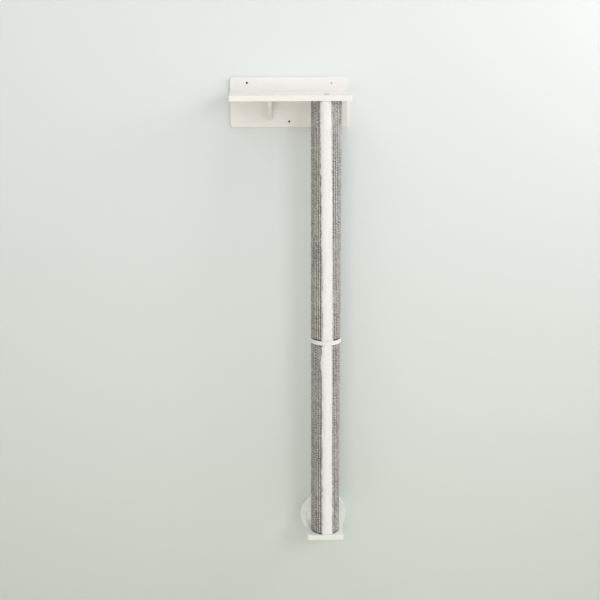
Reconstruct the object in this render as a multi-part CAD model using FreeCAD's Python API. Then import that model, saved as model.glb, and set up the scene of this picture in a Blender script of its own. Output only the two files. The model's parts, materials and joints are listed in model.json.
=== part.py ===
import FreeCAD, Part
import math
import os

# A climbing post for a cat that hangs on a wall. A shelf board stands out from a wall plate,
# and a round post in two wrapped halves runs down from the shelf to a small base plate, which
# a round disc holds to the wall.
#
# Sizes are in millimetres. +Z is up. The wall is the plane Y = 0 and the object stands out
# towards -Y. The origin is midway between the two upper wall-screw holes, on the back face of
# the wall plate.

# Boards. The wall plate is as wide as the platform.
board_thickness = 16.0
board_edge_rounding = 1.2
board_corner_radius = 3.0
platform_width = 350.0
platform_depth = 175.0
wall_plate_height = 148.0
wall_plate_corner_radius = 10.0
wall_plate_above_platform = 41.0
base_plate_width = 112.0
wall_disc_diameter = 148.0

# Holes for the screws that hold the object to the wall
wall_hole_diameter = 6.0
wall_hole_from_edge = 17.0
upper_hole_spacing = 250.0
disc_hole_spacing = 100.0

# Bracket under the platform, left of the post
bracket_thickness = 12.0
bracket_left_of_centre = 58.0
bracket_length = 100.0
bracket_height = 70.0
bracket_nose = 20.0
bracket_heel = 8.0
bracket_edge_rounding = 0.8

# Post: two cardboard tubes, each wrapped in a ribbed woven mat whose seam a plush strip covers
post_to_platform_end = 70.0
post_behind_front_edge = 4.0
upper_post_length = 710.0
lower_post_length = 616.0
tube_diameter = 84.0
tube_wall = 3.5
upper_mat_thickness = 3.0
lower_mat_thickness = 2.5
rib_pitch = 7.0
rib_depth = 0.9
strip_width = 31.0
strip_crown = 2.2
seam_clearance = 0.3
upper_seam_turn = 0.0
lower_seam_turn = 4.0

# Ring between the halves, with the stud that draws them together
ring_thickness = 13.0
ring_overhang = 1.0
ring_edge_rounding = 1.5
stud_grip = 18.0

# Wooden plugs in the tube ends, each with a flanged thread insert
plug_length = 28.0
insert_diameter = 11.0
insert_length = 22.0
insert_flange_diameter = 17.0
insert_flange_thickness = 1.5

# Bolts through the platform and the base plate
bolt_diameter = 8.0
bolt_length = 30.0
bolt_head_diameter = 13.0
bolt_head_height = 5.0
bolt_head_rounding = 0.6
socket_across_flats = 5.0
socket_depth = 3.0
washer_diameter = 16.0
washer_thickness = 1.6
head_below_surface = 2.2
bolt_hole_clearance = 0.25
counterbore_clearance = 0.75
thread_clearance = 0.05
bolt_end_chamfer = 1.0

# Countersunk wood screws
screw_diameter = 4.5
screw_head_diameter = 9.0
screw_head_rim = 0.4
screw_tip_length = 5.0
screw_tip_diameter = 1.2
board_screw_length = 50.0
recess_width = 1.2
recess_span = 5.0
recess_depth = 2.2
screw_clearance = 0.05
platform_screw_shares = (-0.42, 0.0, 0.42)
bracket_screw_shares = (0.32, 0.62)
base_screw_shares = (-0.3, 0.3)

# Dowels between the bracket and the platform
dowel_diameter = 6.0
dowel_in_board = 9.0
dowel_in_bracket = 15.0
dowel_clearance = 0.05
dowel_end_gap = 0.5
dowel_shares = (0.22, 0.78)

# How far a cutting shape runs past the face it opens
overrun = 1.0

UP = FreeCAD.Vector(0, 0, 1)
DOWN = FreeCAD.Vector(0, 0, -1)
OUT = FreeCAD.Vector(0, -1, 0)
SIDEWAYS = FreeCAD.Vector(1, 0, 0)

# Levels and places worked out from the sizes above
plate_top = wall_hole_from_edge
plate_bottom = plate_top - wall_plate_height
platform_top = plate_top - wall_plate_above_platform
platform_bottom = platform_top - board_thickness
platform_front = board_thickness + platform_depth
upper_post_radius = tube_diameter / 2 + upper_mat_thickness
lower_post_radius = tube_diameter / 2 + lower_mat_thickness
ring_radius = upper_post_radius + ring_overhang
post_x = platform_width / 2 - post_to_platform_end
post_y = -(platform_front - post_behind_front_edge - upper_post_radius)
ring_top = platform_bottom - upper_post_length
ring_bottom = ring_top - ring_thickness
base_top = ring_bottom - lower_post_length
base_bottom = base_top - board_thickness
base_middle = base_top - board_thickness / 2
tube_inside_radius = tube_diameter / 2 - tube_wall
counterbore_depth = bolt_head_height + washer_thickness + head_below_surface
screw_head_cone = (screw_head_diameter - screw_diameter) / 2


def vector(x, y, z):
    return FreeCAD.Vector(x, y, z)


def touches(edge, axis, level):
    """True when the whole edge lies in the plane where the axis has that level."""
    return all(abs(getattr(v.Point, axis) - level) < Part.Precision.confusion() for v in edge.Vertexes)


def is_parallel(edge, direction):
    """True for a straight edge that runs along the direction."""
    if not isinstance(edge.Curve, Part.Line):
        return False
    return edge.tangentAt(edge.FirstParameter).cross(direction).Length < Part.Precision.confusion()


def rounded(shape, radius, chosen):
    """Fillets the edges for which chosen(edge) is true."""
    return shape.makeFillet(radius, [edge for edge in shape.Edges if chosen(edge)])


def prism(points, direction):
    """A solid from a closed outline of corner points, pushed along the direction."""
    return Part.Face(Part.makePolygon(points + points[:1])).extrude(direction)


# Screws, bolts and their holes

def screw_solid(spare, length):
    """The shape of a wood screw along -Y with its head face at Y = 0, grown by spare all round."""
    shank_radius = screw_diameter / 2 + spare
    head_radius = screw_head_diameter / 2 + spare
    tip_radius = screw_tip_diameter / 2 + spare
    outline = [
        vector(0, 0, 0),
        vector(head_radius, 0, 0),
        vector(head_radius, -screw_head_rim, 0),
        vector(shank_radius, -screw_head_rim - screw_head_cone, 0),
        vector(shank_radius, -length + screw_tip_length, 0),
        vector(tip_radius, -length, 0),
        vector(0, -length, 0),
    ]
    return Part.Face(Part.makePolygon(outline + outline[:1])).revolve(vector(0, 0, 0), OUT, 360)


def wood_screw(x, z, length):
    """A countersunk screw driven from the back face of a board, with a cross recess in its head."""
    body = screw_solid(0, length)
    for span_x, span_z in ((recess_span, recess_width), (recess_width, recess_span)):
        corner = vector(-span_x / 2, -recess_depth, -span_z / 2)
        body = body.cut(Part.makeBox(span_x, recess_depth + overrun, span_z, corner))
    body.translate(vector(x, 0, z))
    return body


def screw_hole(x, z, length):
    hole = screw_solid(screw_clearance, length + screw_clearance)
    hole.translate(vector(x, 0, z))
    return hole


def wall_hole(x, z):
    """Plain round hole through a board that lies on the wall."""
    start = vector(x, overrun, z)
    return Part.makeCylinder(wall_hole_diameter / 2, board_thickness + 2 * overrun, start, OUT)


def socket_bolt(seat, direction):
    """Low-head socket bolt. The underside of its head lies at seat and its shank runs along direction."""
    head = Part.makeCylinder(bolt_head_diameter / 2, bolt_head_height, seat, -direction)
    face_level = (seat - direction * bolt_head_height).z
    head = rounded(head, bolt_head_rounding, lambda edge: touches(edge, "z", face_level))
    shank = Part.makeCylinder(bolt_diameter / 2, bolt_length, seat, direction)
    end_level = (seat + direction * bolt_length).z
    shank = shank.makeChamfer(bolt_end_chamfer, [e for e in shank.Edges if touches(e, "z", end_level)])
    socket_radius = socket_across_flats / math.sqrt(3)
    floor = seat - direction * (bolt_head_height - socket_depth)
    corners = []
    for step in range(6):
        angle = math.radians(60 * step)
        corners.append(floor + vector(socket_radius * math.cos(angle), socket_radius * math.sin(angle), 0))
    socket = prism(corners, -direction * (socket_depth + overrun))
    return head.fuse(shank).removeSplitter().cut(socket)


def washer(face, direction):
    """Flat washer whose outer face lies at face, and which is as thick as it goes along direction."""
    disc = Part.makeCylinder(washer_diameter / 2, washer_thickness, face, direction)
    hole = Part.makeCylinder(bolt_diameter / 2 + bolt_hole_clearance, washer_thickness, face, direction)
    return disc.cut(hole)


def bolt_hole(surface, direction):
    """Counterbored hole for a bolt that goes in from surface along direction, through one board."""
    start = surface - direction * overrun
    bore_radius = washer_diameter / 2 + counterbore_clearance
    wide = Part.makeCylinder(bore_radius, counterbore_depth + overrun, start, direction)
    narrow_radius = bolt_diameter / 2 + bolt_hole_clearance
    narrow = Part.makeCylinder(narrow_radius, board_thickness + 2 * overrun, start, direction)
    return wide.fuse(narrow)


def bolt_set(surface, direction):
    """The bolt and washer that sit in such a hole."""
    washer_face = surface + direction * (counterbore_depth - washer_thickness)
    return socket_bolt(washer_face, direction), washer(washer_face, direction)


# Boards

def wall_plate():
    corner = vector(-platform_width / 2, -board_thickness, plate_bottom)
    board = Part.makeBox(platform_width, board_thickness, wall_plate_height, corner)
    board = rounded(board, wall_plate_corner_radius, lambda edge: is_parallel(edge, OUT))
    board = rounded(board, board_edge_rounding, lambda edge: touches(edge, "y", -board_thickness))
    for side in (-1, 1):
        board = board.cut(wall_hole(side * upper_hole_spacing / 2, 0))
    board = board.cut(wall_hole(0, plate_bottom + wall_hole_from_edge))
    for x, z in platform_screw_places() + bracket_screw_places():
        board = board.cut(screw_hole(x, z, board_screw_length))
    return board


def shelf_board(width, middle_x, top):
    """Level board that stands out from the wall boards, with rounded front corners and edges."""
    corner = vector(middle_x - width / 2, -platform_front, top - board_thickness)
    board = Part.makeBox(width, platform_depth, board_thickness, corner)

    def front_corner(edge):
        return is_parallel(edge, UP) and touches(edge, "y", -platform_front)

    def outer_rim(edge):
        level = touches(edge, "z", top) or touches(edge, "z", top - board_thickness)
        return level and not touches(edge, "y", -board_thickness)

    board = rounded(board, board_corner_radius, front_corner)
    return rounded(board, board_edge_rounding, outer_rim)


def platform_screw_places():
    middle = platform_top - board_thickness / 2
    return [(share * platform_width, middle) for share in platform_screw_shares]


def bracket_screw_places():
    levels = [platform_bottom - share * bracket_height for share in bracket_screw_shares]
    return [(-bracket_left_of_centre, level) for level in levels]


def base_screw_places():
    return [(post_x + share * base_plate_width, base_middle) for share in base_screw_shares]


def dowel_hole_places():
    return [-board_thickness - share * bracket_length for share in dowel_shares]


def dowel(y):
    """Wooden dowel that stands partly in the bracket and partly in the platform."""
    start = vector(-bracket_left_of_centre, y, platform_bottom - dowel_in_bracket)
    return Part.makeCylinder(dowel_diameter / 2, dowel_in_board + dowel_in_bracket, start, UP)


def dowel_hole(y):
    """Hole for such a dowel, through the joint face, with a little room past both its ends."""
    start = vector(-bracket_left_of_centre, y, platform_bottom - dowel_in_bracket - dowel_end_gap)
    length = dowel_in_board + dowel_in_bracket + 2 * dowel_end_gap
    return Part.makeCylinder(dowel_diameter / 2 + dowel_clearance, length, start, UP)


def platform_board():
    board = shelf_board(platform_width, 0, platform_top)
    board = board.cut(bolt_hole(vector(post_x, post_y, platform_top), DOWN))
    for x, z in platform_screw_places():
        board = board.cut(screw_hole(x, z, board_screw_length))
    for y in dowel_hole_places():
        board = board.cut(dowel_hole(y))
    return board


def base_plate():
    board = shelf_board(base_plate_width, post_x, base_top)
    board = board.cut(bolt_hole(vector(post_x, post_y, base_bottom), UP))
    for x, z in base_screw_places():
        board = board.cut(screw_hole(x, z, board_screw_length))
    return board


def wall_disc():
    centre = vector(post_x, 0, base_middle)
    disc = Part.makeCylinder(wall_disc_diameter / 2, board_thickness, centre, OUT)
    disc = rounded(disc, board_edge_rounding, lambda edge: touches(edge, "y", -board_thickness))
    for side in (-1, 1):
        disc = disc.cut(wall_hole(post_x, base_middle + side * disc_hole_spacing / 2))
    for x, z in base_screw_places():
        disc = disc.cut(screw_hole(x, z, board_screw_length))
    return disc


def bracket():
    """Three-sided board with a short upright nose at the front and a blunt heel at the wall."""
    back = -board_thickness
    nose = back - bracket_length
    side = -bracket_left_of_centre - bracket_thickness / 2
    outline = [
        vector(side, back, platform_bottom),
        vector(side, nose, platform_bottom),
        vector(side, nose, platform_bottom - bracket_nose),
        vector(side, back - bracket_heel, platform_bottom - bracket_height),
        vector(side, back, platform_bottom - bracket_height),
    ]
    board = prism(outline, SIDEWAYS * bracket_thickness)

    def free_edge(edge):
        against = touches(edge, "y", back) or touches(edge, "z", platform_bottom)
        return not against and not is_parallel(edge, SIDEWAYS)

    board = rounded(board, bracket_edge_rounding, free_edge)
    for x, z in bracket_screw_places():
        board = board.cut(screw_hole(x, z, board_screw_length))
    for y in dowel_hole_places():
        board = board.cut(dowel_hole(y))
    return board


# Post

def on_circle(radius, angle, z):
    """Point at an angle round the post's axis, counted from the front towards +X."""
    return vector(post_x + radius * math.sin(angle), post_y - radius * math.cos(angle), z)


def arc(start, middle, end):
    return Part.Arc(start, middle, end).toShape()


def profile_solid(edges, z_bottom, length, turn):
    """A solid of the closed profile, pushed up by length and turned about the post's axis."""
    solid = Part.Face(Part.Wire(edges)).extrude(UP * length)
    solid.rotate(vector(post_x, post_y, z_bottom), UP, turn)
    return solid


def woven_cover(z_bottom, length, crest, turn):
    """Woven mat round the tube with upright ribs out to the crest radius, open where the strip lies."""
    groove = crest - rib_depth
    inside = tube_diameter / 2
    half_seam = (strip_width / 2 + seam_clearance) / crest
    covered = 2 * math.pi - 2 * half_seam
    rib_count = max(1, round(covered * crest / rib_pitch))
    rib_angle = covered / rib_count
    edges = []
    for rib in range(rib_count):
        start = half_seam + rib * rib_angle
        edges.append(arc(on_circle(groove, start, z_bottom),
                         on_circle(crest, start + rib_angle / 2, z_bottom),
                         on_circle(groove, start + rib_angle, z_bottom)))
    last = half_seam + covered
    edges.append(Part.makeLine(on_circle(groove, last, z_bottom), on_circle(inside, last, z_bottom)))
    for start, end in ((last, math.pi), (math.pi, half_seam)):
        edges.append(arc(on_circle(inside, start, z_bottom),
                         on_circle(inside, (start + end) / 2, z_bottom),
                         on_circle(inside, end, z_bottom)))
    first = half_seam
    edges.append(Part.makeLine(on_circle(inside, first, z_bottom), on_circle(groove, first, z_bottom)))
    return profile_solid(edges, z_bottom, length, turn)


def plush_strip(z_bottom, length, edge_radius, turn):
    """Strip of plush on the tube between the mat's two edges, crowned a little above the mat."""
    inside = tube_diameter / 2
    half_angle = strip_width / 2 / edge_radius
    corners = [on_circle(edge_radius, side * half_angle, z_bottom) for side in (-1, 1)]
    feet = [on_circle(inside, side * half_angle, z_bottom) for side in (-1, 1)]
    edges = [
        arc(corners[0], on_circle(edge_radius + strip_crown, 0, z_bottom), corners[1]),
        Part.makeLine(corners[1], feet[1]),
        arc(feet[1], on_circle(inside, 0, z_bottom), feet[0]),
        Part.makeLine(feet[0], corners[0]),
    ]
    return profile_solid(edges, z_bottom, length, turn)


def tube(z_bottom, length):
    axis = vector(post_x, post_y, z_bottom)
    outer = Part.makeCylinder(tube_diameter / 2, length, axis, UP)
    return outer.cut(Part.makeCylinder(tube_inside_radius, length, axis, UP))


def insert_outline(end_face, direction):
    """Sleeve and flange of a thread insert that is pressed in at end_face."""
    flange = Part.makeCylinder(insert_flange_diameter / 2, insert_flange_thickness, end_face, direction)
    sleeve = Part.makeCylinder(insert_diameter / 2, insert_length, end_face, direction)
    return flange.fuse(sleeve).removeSplitter()


def thread_insert(end_face, direction):
    bore = Part.makeCylinder(bolt_diameter / 2 + thread_clearance, insert_length, end_face, direction)
    return insert_outline(end_face, direction).cut(bore)


def plug(end_face, direction):
    """Round wooden plug glued in a tube end, drilled for the thread insert and the bolt's end."""
    body = Part.makeCylinder(tube_inside_radius, plug_length, end_face, direction)
    body = body.cut(insert_outline(end_face, direction))
    bore_radius = bolt_diameter / 2 + bolt_hole_clearance
    return body.cut(Part.makeCylinder(bore_radius, plug_length, end_face, direction))


def post_half(prefix, z_bottom, length, radius, turn):
    """All the pieces of one half of the post, by node name."""
    top_face = vector(post_x, post_y, z_bottom + length)
    bottom_face = vector(post_x, post_y, z_bottom)
    inserts = [thread_insert(top_face, DOWN), thread_insert(bottom_face, UP)]
    return {
        prefix + "_tube": tube(z_bottom, length),
        prefix + "_woven_cover": woven_cover(z_bottom, length, radius, turn),
        prefix + "_plush_strip": plush_strip(z_bottom, length, radius, turn),
        prefix + "_top_plug": plug(top_face, DOWN),
        prefix + "_bottom_plug": plug(bottom_face, UP),
        prefix + "_thread_inserts": Part.makeCompound(inserts),
    }


def joint_ring():
    axis = vector(post_x, post_y, ring_bottom)
    ring = Part.makeCylinder(ring_radius, ring_thickness, axis, UP)

    def rim(edge):
        return touches(edge, "z", ring_top) or touches(edge, "z", ring_bottom)

    ring = rounded(ring, ring_edge_rounding, rim)
    return ring.cut(Part.makeCylinder(bolt_diameter / 2 + bolt_hole_clearance, ring_thickness, axis, UP))


def joint_stud():
    """Threaded stud through the ring and into the inserts of both halves."""
    start = vector(post_x, post_y, ring_bottom - stud_grip)
    stud = Part.makeCylinder(bolt_diameter / 2, ring_thickness + 2 * stud_grip, start, UP)
    ends = (ring_bottom - stud_grip, ring_top + stud_grip)
    rims = [edge for edge in stud.Edges if any(touches(edge, "z", level) for level in ends)]
    return stud.makeChamfer(bolt_end_chamfer, rims)


def build_nodes():
    top_bolt, top_washer = bolt_set(vector(post_x, post_y, platform_top), DOWN)
    base_bolt, base_washer = bolt_set(vector(post_x, post_y, base_bottom), UP)
    nodes = {
        "wall_plate": wall_plate(),
        "platform_board": platform_board(),
        "bracket": bracket(),
        "base_plate": base_plate(),
        "wall_disc": wall_disc(),
        "joint_ring": joint_ring(),
        "joint_stud": joint_stud(),
        "top_bolt": top_bolt,
        "top_washer": top_washer,
        "base_bolt": base_bolt,
        "base_washer": base_washer,
        "bracket_dowels": Part.makeCompound([dowel(y) for y in dowel_hole_places()]),
    }
    for name, places in (("platform_screws", platform_screw_places()),
                         ("bracket_screws", bracket_screw_places()),
                         ("base_screws", base_screw_places())):
        nodes[name] = Part.makeCompound([wood_screw(x, z, board_screw_length) for x, z in places])
    for half in (("upper", ring_top, upper_post_length, upper_post_radius, upper_seam_turn),
                 ("lower", base_top, lower_post_length, lower_post_radius, lower_seam_turn)):
        nodes.update(post_half(*half))
    return nodes


def main():
    os.makedirs("parts", exist_ok=True)
    for name, shape in build_nodes().items():
        shape.exportStep(os.path.join("parts", name + ".step"))
        print(f"{name}: {len(shape.Solids)} solids, valid {shape.isValid()}, {shape.Volume:.0f} cubic mm")


main()
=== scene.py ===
import json
import math

import bmesh
import bpy
import numpy as np
from mathutils import Matrix, Vector


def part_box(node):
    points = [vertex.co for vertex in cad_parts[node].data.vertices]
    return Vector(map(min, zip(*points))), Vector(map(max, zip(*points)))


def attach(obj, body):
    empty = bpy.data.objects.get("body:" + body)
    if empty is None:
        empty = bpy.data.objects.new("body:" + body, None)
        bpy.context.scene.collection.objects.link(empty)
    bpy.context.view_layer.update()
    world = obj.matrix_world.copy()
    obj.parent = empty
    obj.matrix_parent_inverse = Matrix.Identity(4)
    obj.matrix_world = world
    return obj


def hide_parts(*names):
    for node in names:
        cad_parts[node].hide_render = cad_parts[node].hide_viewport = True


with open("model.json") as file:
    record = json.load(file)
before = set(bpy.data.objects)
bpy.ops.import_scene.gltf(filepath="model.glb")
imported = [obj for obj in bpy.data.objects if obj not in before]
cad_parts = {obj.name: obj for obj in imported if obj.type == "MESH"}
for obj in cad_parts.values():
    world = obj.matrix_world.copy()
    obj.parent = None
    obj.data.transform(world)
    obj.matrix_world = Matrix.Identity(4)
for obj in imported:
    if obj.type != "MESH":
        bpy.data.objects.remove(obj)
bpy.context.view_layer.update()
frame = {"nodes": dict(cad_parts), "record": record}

# A cat's climbing post that hangs on a wall. The boards are painted white, the post is wrapped in
# a woven mat with upright ribs, and a strip of white plush covers the mat's seam at the front.
# Lengths are in metres and angles round the post are counted from its front towards +X.

MM = 0.001

# Woven mat. A pair that ends in a length says how much something changes along a rib, and the
# length over which it changes.
RIB_PITCH = 7.0 * MM
RIB_DEPTH = 2.1 * MM
RIB_COLUMN_SHARES = (0.0, 0.09, 0.28, 0.5, 0.72, 0.91)
RIB_ROUNDING_POWERS = (1.85, 0.75)
RIB_WANDER = (0.5 * MM, 38.0 * MM)
RIB_TONE = (0.5, 90.0 * MM)
KNOT_PITCH = 7.6 * MM
KNOT_ROUNDING_POWERS = (2.2, 0.7)
KNOT_DRIFT = (0.9, 55.0 * MM)
KNOT_UNEVEN = (0.26, 10.0 * MM)
KNOT_DIP_SHARE = 0.36
KNOT_DIP_CHANGE = (0.8, 70.0 * MM)
KNOT_TONE = 0.7
PALE_KNOT_POWER = 2.5
KNOT_SPREAD = 0.28 * MM
WEFT_RISE_SHARE = 0.65
WEFT_CONTRAST = 1.3
WEFT_DRIFT = (0.8, 45.0 * MM)
MAT_ROW = 1.8 * MM
MAT_ROWS_PER_BACK_ROW = 8
MAT_LEAST_THICKNESS = 0.2 * MM
# At its foot and head the mat sinks over these lengths, and its relief falls, which also darkens its
# colour: painted shade.
MAT_FOOT_FALL = 5.5 * MM
MAT_HEAD_FALL = 1.8 * MM
MAT_EDGE_DROP = 1.3 * MM
# How much less pale each mat's knots are; the lower mat's darker tone is painted shade for light that
# falls off towards the foot.
MAT_PAINTED_SHADE_TONES = {"upper": 0.0, "lower": -0.35}
SEAM_GAP = 11.0 * MM
SEAM_SLOPE = 1.0 * MM
SEAM_TURNS = {"upper": 1.2, "lower": 4.2}
TUBE_CLEARANCE = 0.1 * MM

# Stray fibres of the mat
FIBRES_PER_METRE = 900
FIBRE_REACH = (1.5 * MM, 5.5 * MM)
FIBRE_LIFT_SHARES = (0.1, 0.45)
FIBRE_ROOT_DEPTH = 0.5 * MM
FIBRE_RADIUS = 0.07 * MM
FIBRE_END_GAP = 3.0 * MM
FIBRE_SPAN_SHARES = (0.02, 0.98)
FIBRE_BEND_SHARE = 0.5
FIBRE_BEND_LIFT_SHARE = 0.7
FIBRE_TIP_TURN_SHARE = 0.9

# Plush strip. It was glued on by hand, so it wanders: its turns (degrees) and widths are given at
# equal steps from the top to the bottom of each half. Its left side is -1 and its right side 1.
STRIP_TURNS = {"upper": (-5.5, -3.3, -0.1, 3.0, 5.6), "lower": (1.2, 4.0, 4.0, 5.2, 7.2)}
STRIP_WIDTHS = {"upper": (33.6 * MM, 33.4 * MM, 33.0 * MM, 32.4 * MM, 31.4 * MM),
                "lower": (32.8 * MM, 32.6 * MM, 32.2 * MM, 35.2 * MM, 32.6 * MM)}
STRIP_CROWN = 2.5 * MM
STRIP_EDGE_POWER = 14.0
STRIP_WAVES = ((75.0 * MM, 1.4 * MM), (24.0 * MM, 1.3 * MM), (8.0 * MM, 1.5 * MM))
STRIP_WAVE_SHARES = {-1: 1.4, 1: 0.45}
STRIP_NOISE_ROW = 3.5
STRIP_CORNERS = {-1: 4.5 * MM, 1: 1.5 * MM}
STRIP_CORNER_HEIGHT = 7.0 * MM
STRIP_FOOT = 1.2 * MM
STRIP_FOOT_HEIGHT = 12.0 * MM
STRIP_END_DROP = 1.2 * MM
STRIP_END_HEIGHT = 4.0 * MM
STRIP_COLUMN = 0.95 * MM
STRIP_ROW = 1.3 * MM
STRIP_ROWS_PER_BACK_ROW = 6
STRIP_ABOVE_MAT = 0.15 * MM
STRIP_INTO_MAT = 0.3 * MM
PILE_RELIEF = 0.28 * MM
PILE_EDGE_SHARE = 0.2
CLUMP_SIZE = (3.2 * MM, 7.0 * MM)
CLUMP_SLANT = 9.0 * MM
CLUMP_SHARE = 0.65
FINE_CLUMP_SIZE = (1.7 * MM, 2.9 * MM)

# Tufts of the plush. Their lean, fall and lift are shares of their length, and so is how much the
# first two vary. They bend at a share of their lean, of their fall and of their lift.
TUFTS_PER_METRE = 24000
TUFT_LENGTH = (1.6 * MM, 3.2 * MM)
TUFT_RADIUS = 0.22 * MM
TUFT_RADIUS_SHARES = (0.7, 1.3)
TUFT_SPREAD_POWER = 0.75
TUFT_LEAN = (0.75, 0.35)
TUFT_FALL = (0.55, 0.4)
TUFT_LIFT_SHARES = (0.35, 0.25)
TUFT_LIFT_RANGE_SHARES = (0.5, 1.0)
TUFT_BEND_SHARES = (0.45, 0.35, 0.8)
TUFT_TIP_LIFT_SHARE = 0.85
TUFT_ROOT_DEPTH = 0.5 * MM
TUFT_END_GAP = 1.0 * MM
TUFT_TIP_GAP = 0.3 * MM
LOCK_PITCH = 6.0 * MM
LOCK_LENGTH_SHARE = 1.3
LOCK_EDGE_POWER = 6

# Spikes, of which the fibres and tufts are made. None of them runs just along the side direction.
SPIKE_SIDE = (0.31, 0.17, 0.93)
SPIKE_MIDDLE_SHARE = 0.75

# Camera, fitted to the photograph's edges
CAMERA_PLACE = (-0.05985, -3.46804, 0.2295)
CAMERA_DOWN = 0.2535
CAMERA_TURN = -0.0263
CAMERA_ROLL = -0.0021
CAMERA_LENS = 68.846
SENSOR_WIDTH = 36.0

# Room
WALL_BEHIND = 0.3 * MM
WALL_REACH = 7.0
WALL_TOP = 4.0
FLOOR_LEVEL = -1.76
OPENING_INSET = 1.5 * MM
PLATE_CORNER = 10.0 * MM
BORE_CLEARANCE = 1.0 * MM
HOLE_EDGE = 0.2 * MM
# Width of the dark sheets of painted shade behind the screw holes.
SHADE_SHEET_WIDTH = 8.0 * MM
# From this height down to the floor the wall darkens into painted shade.
PAINTED_SHADE_FROM = 0.1

# Light. The world is brighter towards its bright side and behind the wall.
LIGHT_LEVEL = -0.05
WORLD_BRIGHT_SIDE = (0.8, -0.6, 0.0)
WORLD_DIM = 0.17
WORLD_BRIGHT = 0.82
WORLD_BEHIND = 1.0


def linear(red, green, blue):
    """A colour that is written as it looks on screen, from 0 to 255, as the shaders take it."""
    shares = [value / 255 for value in (red, green, blue)]
    return tuple(share / 12.92 if share <= 0.04045 else ((share + 0.055) / 1.055) ** 2.4
                 for share in shares) + (1.0,)


PAINT_WHITE = linear(235, 233, 229)
# A greener, brighter white for the boards at the foot: painted bounce light from the wall near the
# floor.
FOOT_WHITE_PAINTED_BOUNCE = linear(235, 237, 232)
PAINT_WORN = linear(205, 199, 188)
# Bare board inside the drilled holes, darker than bare board as painted shade in the hole.
BARE_BOARD_IN_SHADE = linear(112, 104, 94)
RING_WHITE = linear(231, 232, 229)
MAT_STRAW = linear(216, 214, 206)
# Dark of the mat's patches and flecks, and of the painted shade in its grooves and at its ends.
MAT_DARK_YARN_AND_SHADE = linear(44, 42, 39)
MAT_PALE = linear(236, 236, 231)
PLUSH_WHITE = linear(247, 247, 245)
# Darker white of the painted shade between the pile's clumps.
PLUSH_PAINTED_SHADE = linear(238, 238, 235)
CARD_BROWN = linear(176, 142, 104)
WOOD_PALE = linear(219, 186, 140)
WOOD_DARK = linear(170, 124, 78)
STEEL = linear(196, 199, 203)
DUST_GREY = linear(206, 201, 190)
WALL_PAINT = linear(226, 230, 230)
# The wall's colour at the floor, darker and greener; its darkening is painted shade.
WALL_PAINT_LOW_SHADED = linear(214, 221, 214)
FLOOR_PAINT = linear(226, 223, 214)
FLOOR_CLOUD = linear(188, 188, 188)
# Near black of the painted shade behind the screw holes.
HOLE_PAINTED_SHADE = linear(20, 19, 18)


# Numbers

def smooth_noise(x, y, seed):
    """Smooth noise from -1 to 1, with one random value at each pair of whole numbers."""
    size = 256
    table = np.random.default_rng(seed).uniform(-1, 1, (size, size))
    column, row = np.floor(x).astype(int), np.floor(y).astype(int)
    across, up = x - column, y - row
    across, up = across * across * (3 - 2 * across), up * up * (3 - 2 * up)

    def corner(i, j):
        return table[(column + i) % size, (row + j) % size]

    low = corner(0, 0) + (corner(1, 0) - corner(0, 0)) * across
    high = corner(0, 1) + (corner(1, 1) - corner(0, 1)) * across
    return low + (high - low) * up


def rise(share):
    """Smooth step from 0 to 1 as share goes from 0 to 1."""
    share = np.clip(share, 0, 1)
    return share * share * (3 - 2 * share)


def between(shares, values):
    """A smooth run through values at equal steps, from share 0 to share 1."""
    values = np.array(values)
    step = np.clip(shares, 0, 1) * (len(values) - 1)
    before = np.minimum(step.astype(int), len(values) - 2)
    return values[before] + (values[before + 1] - values[before]) * rise(step - before)


def rounded(share, powers):
    """A round profile that goes from 0 at share 0 to 1 at the middle and back to 0 at share 1."""
    return (1 - np.abs(2 * share - 1) ** powers[0]) ** powers[1]


def changing(change, rib, z, seed):
    """What a change, given as an amount and a length, adds to a rib at z."""
    amount, length = change
    return amount * smooth_noise(rib, z / length, seed)


# Meshes

def new_mesh(name, points, faces, smooth=True):
    mesh = bpy.data.meshes.new(name)
    mesh.from_pydata(points.tolist(), [], faces)
    mesh.polygons.foreach_set("use_smooth", [smooth] * len(mesh.polygons))
    mesh.update()
    piece = bpy.data.objects.new(name, mesh)
    bpy.context.scene.collection.objects.link(piece)
    return piece


def point_values(piece, name, values):
    """Stores one number, or one vector, per point of a piece for its material."""
    values = np.asarray(values, np.float32)
    kind, field = ("FLOAT", "value") if values.ndim == 1 else ("FLOAT_VECTOR", "vector")
    attribute = piece.data.attributes.new(name, kind, "POINT")
    attribute.data.foreach_set(field, values.ravel())


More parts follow.
